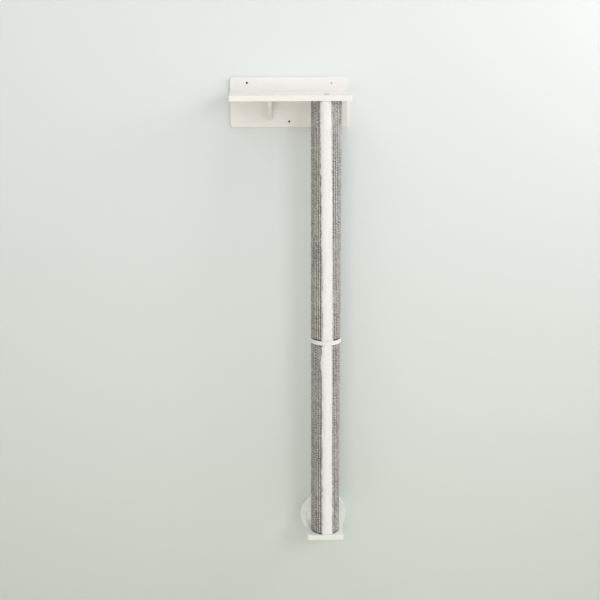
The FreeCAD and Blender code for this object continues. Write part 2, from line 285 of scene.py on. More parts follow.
def closed_sheet(name, outer, inner, row_step, column_step):
    """A closed mesh of a fine outer grid and a coarse inner one, joined by a rim all round.

    Both grids have the shape rows, columns, 3. The inner one is used at every row_step-th row and
    column_step-th column, and the outer face looks along column direction x row direction.
    """
    rows, columns = outer.shape[:2]
    back = inner[::row_step, ::column_step]
    back_rows, back_columns = back.shape[:2]
    start = rows * columns

    def front_at(row, column):
        return row * columns + column

    def back_at(row, column):
        return start + row * back_columns + column

    faces = []
    for row in range(rows - 1):
        for column in range(columns - 1):
            at = front_at(row, column)
            faces.append((at, at + 1, at + columns + 1, at + columns))
    for row in range(back_rows - 1):
        for column in range(back_columns - 1):
            at = back_at(row, column)
            faces.append((at, at + back_columns, at + back_columns + 1, at + 1))
    for column in range(back_columns - 1):
        fine = range(column * column_step, (column + 1) * column_step + 1)
        bottom = [front_at(0, each) for each in fine]
        top = [front_at(rows - 1, each) for each in fine]
        faces.append([back_at(0, column), back_at(0, column + 1)] + bottom[::-1])
        faces.append(top + [back_at(back_rows - 1, column + 1), back_at(back_rows - 1, column)])
    for row in range(back_rows - 1):
        fine = range(row * row_step, (row + 1) * row_step + 1)
        left = [front_at(each, 0) for each in fine]
        right = [front_at(each, columns - 1) for each in fine]
        edge = back_columns - 1
        faces.append(left + [back_at(row + 1, 0), back_at(row, 0)])
        faces.append(right[::-1] + [back_at(row, edge), back_at(row + 1, edge)])
    points = np.concatenate([outer.reshape(-1, 3), back.reshape(-1, 3)])
    return new_mesh(name, points, faces)


def both_grids(fine, row_step, column_step):
    """Values of a fine grid in the order of closed_sheet's points."""
    back = fine[::row_step, ::column_step]
    tail = fine.shape[2:]
    return np.concatenate([fine.reshape((-1,) + tail), back.reshape((-1,) + tail)])


def thin_spikes(name, roots, middles, tips, widths):
    """Closed bent spikes with three sides, from roots through middles to tips."""
    along = tips - roots
    along /= np.linalg.norm(along, axis=1, keepdims=True)
    side = np.cross(along, SPIKE_SIDE)
    side /= np.linalg.norm(side, axis=1, keepdims=True)
    other = np.cross(along, side)
    rings = []
    for centre, share in ((roots, 1.0), (middles, SPIKE_MIDDLE_SHARE)):
        for corner in range(3):
            turn = corner * math.tau / 3
            offset = side * math.cos(turn) + other * math.sin(turn)
            rings.append(centre + offset * (widths * share)[:, None])
    points = np.stack(rings + [tips], axis=1).reshape(-1, 3)
    pattern = [(2, 1, 0), (0, 1, 4, 3), (1, 2, 5, 4), (2, 0, 3, 5), (3, 4, 6), (4, 5, 6), (5, 3, 6)]
    faces = [tuple(base + corner for corner in face)
             for base in range(0, len(roots) * 7, 7) for face in pattern]
    return new_mesh(name, points, faces)


# The post's halves

class Half:
    """Sizes of one half of the post, read from the frame."""

    def __init__(self, prefix):
        tube_low, tube_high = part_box(prefix + "_tube")
        mat_low, mat_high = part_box(prefix + "_woven_cover")
        self.prefix = prefix
        self.x = (tube_low.x + tube_high.x) / 2
        self.y = (tube_low.y + tube_high.y) / 2
        self.tube = (tube_high.x - tube_low.x) / 2
        self.crest = (mat_high.x - mat_low.x) / 2
        self.bottom, self.top = mat_low.z, mat_high.z
        self.length = self.top - self.bottom

    def place(self, angle, radius, z):
        """Points round the post's axis."""
        x = self.x + radius * np.sin(angle)
        y = self.y - radius * np.cos(angle)
        return np.stack(np.broadcast_arrays(x, y, z), axis=-1)

    def from_top(self, z):
        return (self.top - z) / self.length

    def strip_turn(self, z):
        return np.radians(between(self.from_top(z), STRIP_TURNS[self.prefix]))

    def strip_side(self, z, side, seed):
        """How far the plush strip reaches from its middle at z on one side, with a wavy edge."""
        row = np.full_like(z, STRIP_NOISE_ROW)
        ripple = sum(height * smooth_noise(z / length, row, seed + side)
                     for length, height in STRIP_WAVES)
        corner = rise(1 - (self.top - z) / STRIP_CORNER_HEIGHT) * STRIP_CORNERS[side]
        foot = rise(1 - (z - self.bottom) / STRIP_FOOT_HEIGHT) * STRIP_FOOT
        width = between(self.from_top(z), STRIP_WIDTHS[self.prefix])
        return width / 2 + ripple * STRIP_WAVE_SHARES[side] + foot - corner

    def strip_reach(self, z, share, seed):
        """How far the strip reaches from its middle at z, on the side that share lies on."""
        left, right = [self.strip_side(z, side, seed) for side in (-1, 1)]
        return np.where(share < 0, left, right)

    def mat_span(self):
        """The angle at which the mat starts beside its seam, and the angle that it covers."""
        gap = SEAM_GAP / self.crest
        return np.radians(SEAM_TURNS[self.prefix]) + gap / 2, math.tau - gap


def woven_mat(half, seed):
    """The mat, with upright ribs of knotted yarn, whose knots are staggered from rib to rib.

    Each effect reads its noise at its own multiple of the rib's number, so that ribs differ.
    """
    start, covered = half.mat_span()
    ribs = round(covered * half.crest / RIB_PITCH)
    columns = np.concatenate([(np.arange(ribs)[:, None] + RIB_COLUMN_SHARES).ravel(), [ribs]])
    rows = round(half.length / MAT_ROW / MAT_ROWS_PER_BACK_ROW) * MAT_ROWS_PER_BACK_ROW + 1
    z, place = np.meshgrid(np.linspace(half.bottom, half.top, rows), columns, indexing="ij")
    rib = np.minimum(np.floor(place), ribs - 1)
    across = place - rib

    knot = (z - half.bottom) / KNOT_PITCH + 0.5 * (rib % 2)
    knot = knot + changing(KNOT_DRIFT, rib * 1.37, z, seed)
    knot = knot + changing(KNOT_UNEVEN, rib * 7.7, z, seed + 9)
    number = np.floor(knot)
    tone = KNOT_TONE * smooth_noise(number, rib, seed + 1)
    tone = tone + changing(RIB_TONE, rib * 5.3, z, seed + 8)

    groove = np.where(across < 0.5, rib, rib + 1)
    weft = 2 * (z - half.bottom) / KNOT_PITCH + changing(WEFT_DRIFT, groove * 1.9, z, seed + 6)
    weft_number = np.floor(weft)
    crossing = 1 - (2 * (weft - weft_number) - 1) ** 2
    tightness = np.clip(WEFT_CONTRAST * smooth_noise(weft_number, groove, seed + 7), 0, 1)
    weft_rise = WEFT_RISE_SHARE * crossing * tightness

    round_rib = rounded(across, RIB_ROUNDING_POWERS)
    round_knot = rounded(knot - number, KNOT_ROUNDING_POWERS)
    dip = KNOT_DIP_SHARE * (1 + changing(KNOT_DIP_CHANGE, rib / 4 + 0.5, z, seed + 2))
    relief = np.maximum(round_rib * (1 - dip * (1 - round_knot)), weft_rise)
    edge = rise((z - half.bottom) / MAT_FOOT_FALL) * rise((half.top - z) / MAT_HEAD_FALL)
    radius = half.crest - RIB_DEPTH * (1 - relief) + KNOT_SPREAD * tone * round_rib
    back = half.tube + TUBE_CLEARANCE
    lowest, highest = back + MAT_LEAST_THICKNESS, half.crest + KNOT_SPREAD
    radius = np.clip(radius - MAT_EDGE_DROP * (1 - edge), lowest, highest)

    wander = changing(RIB_WANDER, rib * 2.3, z, seed + 3) * np.sin(math.pi * across)
    angle = start + place / ribs * covered + wander / half.crest
    outer, inner = half.place(angle, radius, z), half.place(angle, back, z)
    steps = MAT_ROWS_PER_BACK_ROW, len(RIB_COLUMN_SHARES)
    mat = closed_sheet(half.prefix + "_mat", outer, inner, *steps)
    cloth = np.stack([place * RIB_PITCH, z, 0 * z], axis=-1)
    point_values(mat, "cloth_place", both_grids(cloth, *steps))
    # The relief, lowered towards the ends, also sets where the mat's colour takes painted shade.
    point_values(mat, "relief", both_grids(relief * edge, *steps))
    point_values(mat, "knot_tone", both_grids(tone + MAT_PAINTED_SHADE_TONES[half.prefix], *steps))
    return mat


def stray_fibres(half, seed):
    """Single fibres that stand out of the mat."""
    start, covered = half.mat_span()
    random = np.random.default_rng(seed + 4)
    count = round(FIBRES_PER_METRE * half.length)
    turn = start + random.uniform(*FIBRE_SPAN_SHARES, count) * covered
    level = random.uniform(half.bottom + FIBRE_END_GAP, half.top - FIBRE_END_GAP, count)
    reach = random.uniform(*FIBRE_REACH, count)
    lean = random.normal(0, 1, (2, count))
    lift = random.uniform(*FIBRE_LIFT_SHARES, count) * reach
    roots = half.place(turn, np.full(count, half.crest - FIBRE_ROOT_DEPTH), level)
    bend = turn + FIBRE_BEND_SHARE * reach * lean[0] / half.crest
    middles = half.place(bend, half.crest + FIBRE_BEND_LIFT_SHARE * lift,
                         level + FIBRE_BEND_SHARE * reach * lean[1])
    end = turn + FIBRE_TIP_TURN_SHARE * reach * lean[0] / half.crest
    tips = half.place(end, half.crest + lift, level + reach * lean[1])
    radii = np.full(count, FIBRE_RADIUS)
    return thin_spikes(half.prefix + "_mat_fibres", roots, middles, tips, radii)


def strip_crown(share):
    """How high the strip's crown stands at a share of its reach, -1 or 1 at an edge."""
    return STRIP_CROWN * (1 - np.abs(share) ** STRIP_EDGE_POWER)


def plush_strip(half, seed):
    """The strip of plush over the mat's seam, with a clumped surface."""
    columns = round(STRIP_WIDTHS[half.prefix][0] / STRIP_COLUMN)
    rows = round(half.length / STRIP_ROW / STRIP_ROWS_PER_BACK_ROW) * STRIP_ROWS_PER_BACK_ROW + 1
    z, across = np.meshgrid(np.linspace(half.bottom, half.top, rows),
                            np.linspace(-1, 1, columns + 1), indexing="ij")
    from_middle = across * half.strip_reach(z, across, seed)
    slanted = z / CLUMP_SIZE[1] + from_middle / CLUMP_SLANT
    clump = smooth_noise(from_middle / CLUMP_SIZE[0], slanted, seed + 5)
    fine = smooth_noise(from_middle / FINE_CLUMP_SIZE[0], z / FINE_CLUMP_SIZE[1], seed + 6)
    flat_edge = rise((1 - np.abs(across)) / PILE_EDGE_SHARE)
    pile = PILE_RELIEF * (CLUMP_SHARE * clump + (1 - CLUMP_SHARE) * fine) * flat_edge
    from_end = np.minimum(z - half.bottom, half.top - z)
    drop = STRIP_END_DROP * (1 - np.sqrt(rise(from_end / STRIP_END_HEIGHT)))
    radius = half.crest + STRIP_ABOVE_MAT + strip_crown(across) + pile - drop
    angle = half.strip_turn(z) + from_middle / half.crest

    from_seam = np.abs(angle - np.radians(SEAM_TURNS[half.prefix])) * half.crest
    sunk = rise((SEAM_GAP / 2 - from_seam) / SEAM_SLOPE)
    on_mat, on_tube = half.crest - STRIP_INTO_MAT, half.tube + TUBE_CLEARANCE
    under = on_mat + (on_tube - on_mat) * sunk
    outer, inner = half.place(angle, radius, z), half.place(angle, under, z)
    steps = STRIP_ROWS_PER_BACK_ROW, 1
    strip = closed_sheet(half.prefix + "_plush", outer, inner, *steps)
    cloth = np.stack([from_middle, z, 0 * z], axis=-1)
    point_values(strip, "cloth_place", both_grids(cloth, *steps))
    point_values(strip, "relief", both_grids(0.5 + 0.5 * clump, *steps))
    return strip


def plush_tufts(half, seed):
    """The tufts of the strip's pile. They fall, and lean over its edges in longer locks."""
    random = np.random.default_rng(seed + 7)
    count = round(TUFTS_PER_METRE * half.length)
    level = random.uniform(half.bottom + TUFT_END_GAP, half.top - TUFT_END_GAP, count)
    share = random.uniform(-1, 1, count)
    share = np.sign(share) * np.abs(share) ** TUFT_SPREAD_POWER
    offset = share * half.strip_reach(level, share, seed)
    lock = np.clip(smooth_noise(level / LOCK_PITCH, STRIP_NOISE_ROW * np.sign(share), seed + 8), 0, 1)
    lock = LOCK_LENGTH_SHARE * lock * np.abs(share) ** LOCK_EDGE_POWER
    long = random.uniform(*TUFT_LENGTH, count) * (1 + lock)
    sideways = (TUFT_LEAN[0] * share + random.normal(0, TUFT_LEAN[1], count)) * long
    down = (random.normal(0, TUFT_FALL[1], count) - TUFT_FALL[0]) * long
    lift_share = TUFT_LIFT_SHARES[0] + TUFT_LIFT_SHARES[1] * (1 - np.abs(share))
    lift = lift_share * random.uniform(*TUFT_LIFT_RANGE_SHARES, count) * long
    ground = half.crest + STRIP_ABOVE_MAT + strip_crown(share) - TUFT_ROOT_DEPTH
    turn = half.strip_turn(level)
    lowest, highest = half.bottom + TUFT_TIP_GAP, half.top - TUFT_TIP_GAP
    bend_lean, bend_fall, bend_lift = TUFT_BEND_SHARES
    roots = half.place(turn + offset / half.crest, ground, level)
    middles = half.place(turn + (offset + bend_lean * sideways) / half.crest, ground + bend_lift * lift,
                         np.clip(level + bend_fall * down, lowest, highest))
    tips = half.place(turn + (offset + sideways) / half.crest, ground + TUFT_TIP_LIFT_SHARE * lift,
                      np.clip(level + down, lowest, highest))
    radii = random.uniform(*TUFT_RADIUS_SHARES, count) * TUFT_RADIUS
    return thin_spikes(half.prefix + "_plush_tufts", roots, middles, tips, radii)


# Node trees

def add_node(tree, kind, sockets=None, **settings):
    """A shader node with its settings, and with its sockets set to values or linked to outputs."""
    node = tree.nodes.new("ShaderNode" + kind)
    for name, value in settings.items():
        setattr(node, name, value)
    for name, value in (sockets or {}).items():
        if isinstance(value, bpy.types.NodeSocket):
            tree.links.new(value, node.inputs[name])
        else:
            node.inputs[name].default_value = value
    return node


def maths(tree, operation, *values):
    return add_node(tree, "Math", dict(enumerate(values)), operation=operation).outputs[0]


def plus(tree, first, second):
    return maths(tree, "ADD", first, second)


def times(tree, first, second):
    return maths(tree, "MULTIPLY", first, second)


def varied(tree, level, value, amount):
    """A level that a value from 0 to 1 moves down or up, by half the amount at most."""
    return plus(tree, level, times(tree, maths(tree, "SUBTRACT", value, 0.5), amount))


def mixed(tree, factor, first, second, blend="MIX"):
    """A colour between two colours."""
    sockets = {"Factor": factor, 6: first, 7: second}
    return add_node(tree, "Mix", sockets, data_type="RGBA", blend_type=blend).outputs[2]


def ramp(tree, value, low, high, to_low=0.0, to_high=1.0):
    """A value mapped from low..high to other limits, and held between them."""
    sockets = {"Value": value, "From Min": low, "From Max": high,
               "To Min": to_low, "To Max": to_high}
    return add_node(tree, "MapRange", sockets).outputs["Result"]


def scaled(tree, vector, factors):
    return add_node(tree, "VectorMath", {0: vector, 1: factors}, operation="MULTIPLY").outputs[0]


def noise(tree, vector, scale, detail=2.0, rough=0.5):
    sockets = {"Vector": vector, "Scale": scale, "Detail": detail, "Roughness": rough}
    return add_node(tree, "TexNoise", sockets).outputs["Fac"]


def new_group(name, inputs, outputs):
    """An empty node group with named sockets. Returns its tree, its inputs and its output node."""
    tree = bpy.data.node_groups.new(name, "ShaderNodeTree")
    for direction, sockets in (("INPUT", inputs), ("OUTPUT", outputs)):
        for socket, kind in sockets.items():
            tree.interface.new_socket(socket, in_out=direction, socket_type="NodeSocket" + kind)
    source = tree.nodes.new("NodeGroupInput")
    return tree, source.outputs, tree.nodes.new("NodeGroupOutput")


def give(tree, output, **values):
    """Links a group's results to its outputs."""
    for name, value in values.items():
        tree.links.new(value, output.inputs[name])


def use(tree, group, sockets):
    return add_node(tree, "Group", sockets, node_tree=group).outputs


def edge_wear_group():
    """Where edges and corners are rubbed: paler or darker paint that shows in broken patches."""
    tree, given, output = new_group("Edge wear",
                                    {"Colour": "Color", "Worn Colour": "Color", "Place": "Vector",
                                     "Width": "Float", "Amount": "Float"},
                                    {"Colour": "Color"})
    soft = add_node(tree, "Bevel", {"Radius": given["Width"]}, samples=6).outputs["Normal"]
    sharp = add_node(tree, "NewGeometry").outputs["Normal"]
    normals = {0: soft, 1: sharp}
    flatness = add_node(tree, "VectorMath", normals, operation="DOT_PRODUCT").outputs["Value"]
    edge = ramp(tree, flatness, 0.985, 0.9)
    broken = ramp(tree, noise(tree, given["Place"], scale=160.0, detail=4.0, rough=0.65), 0.36, 0.66)
    mask = times(tree, times(tree, edge, broken), given["Amount"])
    give(tree, output, Colour=mixed(tree, mask, given["Colour"], given["Worn Colour"]))
    return tree


def bare_bore_group():
    """Bare board darkened with painted shade inside a drilled hole, whose axis is the one that Plane
    leaves out.
    """
    tree, given, output = new_group("Bare bore in painted shade",
                                    {"Colour": "Color", "Bare Shaded Colour": "Color", "Place": "Vector",
                                     "Centre": "Vector", "Plane": "Vector", "Radius": "Float"},
                                    {"Colour": "Color"})
    ends = {0: scaled(tree, given["Place"], given["Plane"]),
            1: scaled(tree, given["Centre"], given["Plane"])}
    reach = add_node(tree, "VectorMath", ends, operation="DISTANCE").outputs["Value"]
    mask = maths(tree, "LESS_THAN", reach, given["Radius"])
    give(tree, output, Colour=mixed(tree, mask, given["Colour"], given["Bare Shaded Colour"]))
    return tree


def paint_skin_group():
    """A sprayed or moulded skin: faint clouds of tone, a fine peel and small changes in gloss."""
    tree, given, output = new_group("Paint skin",
                                    {"Colour": "Color", "Place": "Vector", "Peel": "Float",
                                     "Tone": "Float", "Gloss": "Float"},
                                    {"Colour": "Color", "Roughness": "Float", "Height": "Float"})
    clouds = noise(tree, given["Place"], scale=9.0, detail=3.0)
    specks = noise(tree, given["Place"], scale=240.0)
    tone = varied(tree, maths(tree, "SUBTRACT", clouds, 0.5), specks, 0.4)
    level = plus(tree, times(tree, tone, given["Tone"]), 1.0)
    shade = add_node(tree, "CombineColor", {0: level, 1: level, 2: level}).outputs[0]
    colour = mixed(tree, 1.0, given["Colour"], shade, "MULTIPLY")
    smear = noise(tree, given["Place"], scale=30.0, detail=4.0, rough=0.6)
    give(tree, output, Colour=colour, Roughness=varied(tree, given["Gloss"], smear, 0.16),
         Height=noise(tree, given["Place"], scale=given["Peel"]))
    return tree


def dust_group():
    """Fine dust that lies in patches on what faces up."""
    tree, given, output = new_group("Dust",
                                    {"Colour": "Color", "Dust Colour": "Color", "Place": "Vector",
                                     "Amount": "Float"},
                                    {"Colour": "Color"})
    normal = add_node(tree, "NewGeometry").outputs["Normal"]
    up = add_node(tree, "SeparateXYZ", {0: normal}).outputs["Z"]
    patches = ramp(tree, noise(tree, given["Place"], scale=14.0, detail=5.0, rough=0.6), 0.35, 0.75)
    mask = times(tree, ramp(tree, up, 0.3, 0.95), times(tree, patches, given["Amount"]))
    give(tree, output, Colour=mixed(tree, mask, given["Colour"], given["Dust Colour"]))
    return tree


def fibres_group():
    """Fine fibres that run mostly along the place's second axis, as a tone and as a height."""
    tree, given, output = new_group("Fibres",
                                    {"Place": "Vector", "Fineness": "Float", "Lean": "Float",
                                     "Stretch": "Float"},
                                    {"Tone": "Float", "Height": "Float"})
    axes = add_node(tree, "SeparateXYZ", {0: given["Place"]}).outputs
    leaning = plus(tree, axes["X"], times(tree, axes["Y"], given["Lean"]))
    along = maths(tree, "DIVIDE", axes["Y"], given["Stretch"])
    place = add_node(tree, "CombineXYZ", {0: leaning, 1: along, 2: axes["Z"]}).outputs[0]
    fine = noise(tree, place, scale=given["Fineness"], detail=3.0, rough=0.6)
    coarse = noise(tree, place, scale=times(tree, given["Fineness"], 0.35))
    tone = plus(tree, times(tree, fine, 0.6), times(tree, coarse, 0.4))
    give(tree, output, Tone=ramp(tree, tone, 0.3, 0.7), Height=tone)
    return tree


def grain_group():
    """Growth rings of wood that run along the place's third axis, with pores between them."""
    tree, given, output = new_group("Wood grain",
                                    {"Place": "Vector", "Light": "Color", "Dark": "Color",
                                     "Rings": "Float"},
                                    {"Colour": "Color", "Height": "Float"})
    long = scaled(tree, given["Place"], (1.0, 1.0, 0.12))
    bend = noise(tree, long, scale=22.0)
    axes = add_node(tree, "SeparateXYZ", {0: long}).outputs
    across = plus(tree, axes["X"], times(tree, axes["Y"], 0.35))
    phase = plus(tree, times(tree, across, given["Rings"]), times(tree, bend, 5.0))
    ring = maths(tree, "FRACT", phase)
    pores = noise(tree, scaled(tree, given["Place"], (1.0, 1.0, 0.08)), scale=900.0)
    band = times(tree, ramp(tree, ring, 0.25, 1.0), 0.75)
    mask = plus(tree, band, times(tree, ramp(tree, pores, 0.55, 0.75), 0.25))
    give(tree, output, Colour=mixed(tree, mask, given["Light"], given["Dark"]), Height=mask)
    return tree


def scratches_group():
    """Fine rubbed lines in two directions, as a height and a change in gloss."""
    tree, given, output = new_group("Scratches",
                                    {"Place": "Vector", "Fineness": "Float", "Gloss": "Float"},
                                    {"Roughness": "Float", "Height": "Float"})
    lines = []
    for stretch in ((1.0, 0.06, 1.0), (0.08, 1.0, 0.3)):
        place = scaled(tree, given["Place"], stretch)
        lines.append(noise(tree, place, scale=given["Fineness"], detail=3.0, rough=0.6))
    height = maths(tree, "MAXIMUM", *lines)
    give(tree, output, Roughness=varied(tree, given["Gloss"], height, 0.5), Height=height)
    return tree


# Materials

def new_material(name):
    """An empty material. Returns it with its tree and its output node."""
    material = bpy.data.materials.new(name)
    material.use_nodes = True
    tree = material.node_tree
    tree.nodes.clear()
    return material, tree, tree.nodes.new("ShaderNodeOutputMaterial")


def finished(name, build):
    """A material of one Principled shader, whose sockets build(tree) gives."""
    material, tree, output = new_material(name)
    shader = add_node(tree, "BsdfPrincipled", build(tree))
    tree.links.new(shader.outputs[0], output.inputs["Surface"])
    return material


def bump(tree, height, distance, strength=1.0):
    sockets = {"Height": height, "Distance": distance, "Strength": strength}
    return add_node(tree, "Bump", sockets).outputs["Normal"]


def object_place(tree):
    return add_node(tree, "TexCoord").outputs["Object"]


def stored(tree, name, output):
    return add_node(tree, "Attribute", attribute_name=name).outputs[output]


class Effects:
    """The shared effects, each built once."""

    def __init__(self):
        self.edge_wear = edge_wear_group()
        self.paint_skin = paint_skin_group()
        self.bare_bore = bare_bore_group()
        self.dust = dust_group()
        self.fibres = fibres_group()
        self.grain = grain_group()
        self.scratches = scratches_group()


def hole_places(mount):
    """Where a mount's one or two holes meet the wall, as a set of (x, z)."""
    x, z = mount["pos_m"][0], mount["pos_m"][2]
    aside = mount["dims"].get("spacing_x_mm", 0) / 2 * MM
    above = mount["dims"].get("spacing_y_mm", 0) / 2 * MM
    return {(x - aside, z - above), (x + aside, z + above)}


def bolt_holes():
    """The counterbore that the platform and the base plate have on the post's axis."""
    low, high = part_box("top_washer")
    centre = (low + high) / 2
    return [(tuple(centre), (1.0, 1.0, 0.0), (high.x - low.x) / 2 + BORE_CLEARANCE)]


def screw_holes():
    """The holes for the wall screws in the wall plate and the wall disc."""
    holes = []
    for mount in frame["record"]["mounts"]:
        if mount["kind"] != "flat_face":
            radius = mount["dims"].get("hole_r_mm", mount["dims"].get("r_mm")) * MM + HOLE_EDGE
            holes += [((x, 0.0, z), (1.0, 0.0, 1.0), radius) for x, z in sorted(hole_places(mount))]
    return holes


def make_materials():
    """The finishes, by name. Each material slot of the record has one of its own name."""
    effects = Effects()

    def painted_board(tree, holes=(), paint=PAINT_WHITE):
        place = object_place(tree)
        skin = use(tree, effects.paint_skin,
                   {"Colour": paint, "Place": place, "Peel": 420.0, "Tone": 0.05, "Gloss": 0.42})
        worn = use(tree, effects.edge_wear,
                   {"Colour": skin["Colour"], "Worn Colour": PAINT_WORN, "Place": place,
                    "Width": 0.9 * MM, "Amount": 0.45})
        dusty = use(tree, effects.dust,
                    {"Colour": worn["Colour"], "Dust Colour": DUST_GREY, "Place": place,
                     "Amount": 0.22})
        colour = dusty["Colour"]
        # Inside each hole the colour turns to bare board darkened with painted shade.
        for centre, plane, radius in holes:
            bare = use(tree, effects.bare_bore,
                       {"Colour": colour, "Bare Shaded Colour": BARE_BOARD_IN_SHADE, "Place": place,
                        "Centre": centre, "Plane": plane, "Radius": radius})
            colour = bare["Colour"]
        return {"Base Color": colour, "Roughness": skin["Roughness"], "Specular IOR Level": 0.4,
                "Normal": bump(tree, skin["Height"], distance=0.05 * MM, strength=0.6)}

    def bolted_board(tree):
        return painted_board(tree, bolt_holes())

    def wall_board(tree):
        return painted_board(tree, screw_holes())

    # The boards at the foot take the greener white of painted bounce light.
    def foot_board_painted_bounce(tree):
        return painted_board(tree, bolt_holes(), FOOT_WHITE_PAINTED_BOUNCE)

    def disc_board_painted_bounce(tree):
        return painted_board(tree, screw_holes(), FOOT_WHITE_PAINTED_BOUNCE)

    def ring_plastic(tree):
        place = object_place(tree)
        skin = use(tree, effects.paint_skin,
                   {"Colour": RING_WHITE, "Place": place, "Peel": 900.0, "Tone": 0.03, "Gloss": 0.36})
        worn = use(tree, effects.edge_wear,
                   {"Colour": skin["Colour"], "Worn Colour": PAINT_WORN, "Place": place,
                    "Width": 0.7 * MM, "Amount": 0.2})
        return {"Base Color": worn["Colour"], "Roughness": skin["Roughness"],
                "Normal": bump(tree, skin["Height"], distance=0.03 * MM, strength=0.7)}

    def woven_mat_cloth(tree):
        place = stored(tree, "cloth_place", "Vector")
        relief = stored(tree, "relief", "Fac")
        tone = ramp(tree, stored(tree, "knot_tone", "Fac"), -1.0, 1.0)
        tone = maths(tree, "POWER", tone, PALE_KNOT_POWER)
        yarn = use(tree, effects.fibres,
                   {"Place": place, "Fineness": 1500.0, "Lean": 0.5, "Stretch": 4.0})
        twist = use(tree, effects.fibres,
                    {"Place": place, "Fineness": 420.0, "Lean": 0.75, "Stretch": 1.9})
        patch = ramp(tree, noise(tree, place, scale=26.0, detail=3.0, rough=0.6), 0.3, 0.7)
        layers = ((yarn["Tone"], 0.45, MAT_PALE), (tone, 0.6, MAT_PALE), (patch, 0.3, MAT_DARK_YARN_AND_SHADE),
                  (ramp(tree, twist["Tone"], 0.55, 0.85), 0.75, MAT_PALE),
                  (ramp(tree, twist["Tone"], 0.5, 0.12), 0.7, MAT_DARK_YARN_AND_SHADE))
        straw = MAT_STRAW
        for mask, amount, tint in layers:
            straw = mixed(tree, times(tree, mask, amount), straw, tint)
        # Low relief, in the grooves, between knots and towards the mat's ends, takes the dark colour:
        # painted shade.
        colour = mixed(tree, ramp(tree, relief, 0.95, 0.25), straw, MAT_DARK_YARN_AND_SHADE)
        return {"Base Color": colour, "Roughness": 0.88, "Specular IOR Level": 0.25,
                "Normal": bump(tree, yarn["Height"], distance=0.45 * MM)}

    def plush_pile(tree):
        place = stored(tree, "cloth_place", "Vector")
        relief = stored(tree, "relief", "Fac")
        pile = use(tree, effects.fibres,
                   {"Place": place, "Fineness": 1300.0, "Lean": 0.2, "Stretch": 3.0})
        # Low relief, between the clumps, darkens the white: painted shade. The tufts store no relief
        # and take the darker white all over.
        painted_valley_shade = times(tree, ramp(tree, relief, 0.6, 0.0), 0.55)
        return {"Base Color": mixed(tree, painted_valley_shade, PLUSH_WHITE, PLUSH_PAINTED_SHADE), "Roughness": 0.95,
                "Specular IOR Level": 0.15, "Sheen Weight": 0.25, "Sheen Roughness": 0.5,
                "Subsurface Weight": 0.4, "Subsurface Radius": (1.0, 1.0, 1.0),
                "Subsurface Scale": 4.0 * MM,
                "Normal": bump(tree, pile["Height"], distance=0.5 * MM, strength=0.8)}

    def cardboard(tree):
        pulp = use(tree, effects.fibres,
                   {"Place": object_place(tree), "Fineness": 420.0, "Lean": 0.6, "Stretch": 2.0})
        colour = mixed(tree, times(tree, pulp["Tone"], 0.35), CARD_BROWN, WOOD_DARK)
        return {"Base Color": colour, "Roughness": 0.85,
                "Normal": bump(tree, pulp["Height"], distance=0.1 * MM)}

    def plug_wood(tree):
        wood = use(tree, effects.grain,
                   {"Place": object_place(tree), "Light": WOOD_PALE, "Dark": WOOD_DARK,
                    "Rings": 420.0})
        return {"Base Color": wood["Colour"], "Roughness": 0.6,
                "Normal": bump(tree, wood["Height"], distance=0.08 * MM)}

    def zinc_steel(tree):
        lines = use(tree, effects.scratches,
                    {"Place": object_place(tree), "Fineness": 1600.0, "Gloss": 0.32})
        return {"Base Color": STEEL, "Metallic": 1.0, "Roughness": lines["Roughness"],
                "Normal": bump(tree, lines["Height"], distance=0.02 * MM)}

    builders = {"painted_board": painted_board, "bolted_board": bolted_board,
                "wall_board": wall_board, "foot_board_painted_bounce": foot_board_painted_bounce, "disc_board_painted_bounce": disc_board_painted_bounce,
                "ring_plastic": ring_plastic, "woven_mat": woven_mat_cloth, "plush": plush_pile,
                "cardboard": cardboard, "plug_wood": plug_wood, "zinc_steel": zinc_steel}
    return {name: finished(name + "_finish", build) for name, build in builders.items()}


def wall_shade(tree):
    """The wall's paint, darker and greener towards the floor; the darkening is painted shade for light
    that falls off there.
    """
    level = add_node(tree, "SeparateXYZ", {0: object_place(tree)}).outputs["Z"]
    return mixed(tree, ramp(tree, level, PAINTED_SHADE_FROM, FLOOR_LEVEL), WALL_PAINT, WALL_PAINT_LOW_SHADED)


def floor_shade(tree):
    cloud = noise(tree, object_place(tree), scale=2.0, detail=3.0)
    return mixed(tree, times(tree, cloud, 0.06), FLOOR_PAINT, FLOOR_CLOUD)


def hole_shade(tree):
    return HOLE_PAINTED_SHADE


def one_sided(name, shade, roughness):
    """A matt material that only its front side shows. shade(tree) gives its colour."""
    material, tree, output = new_material(name)
    shader = add_node(tree, "BsdfPrincipled", {"Base Color": shade(tree), "Roughness": roughness,
                                               "Specular IOR Level": 0.1})
    clear = add_node(tree, "BsdfTransparent")
    behind = add_node(tree, "NewGeometry").outputs["Backfacing"]
    mix = add_node(tree, "MixShader", {0: behind, 1: shader.outputs[0], 2: clear.outputs[0]})
    tree.links.new(mix.outputs[0], output.inputs["Surface"])
    return material


# Room and light

def wall_sheet(name, outlines, material):
    """A flat sheet just behind the wall's plane, between closed outlines of (x, z) points."""
    mesh = bpy.data.meshes.new(name)
    form = bmesh.new()
    for outline in outlines:
        points = [form.verts.new((x, WALL_BEHIND, z)) for x, z in outline]
        for start, end in zip(points, points[1:] + points[:1]):
            form.edges.new((start, end))
    bmesh.ops.triangle_fill(form, edges=form.edges[:], use_beauty=True, normal=(0, -1, 0))
    form.to_mesh(mesh)
    form.free()
    mesh.materials.append(material)
    sheet = bpy.data.objects.new(name, mesh)
    bpy.context.scene.collection.objects.link(sheet)


def arc(x, z, radius, start, end, points):
    """Points on an arc about (x, z), from share start to share end of a full turn."""
    turns = [math.tau * (start + (end - start) * step / points) for step in range(points)]
    return [(x + radius * math.cos(turn), z + radius * math.sin(turn)) for turn in turns]


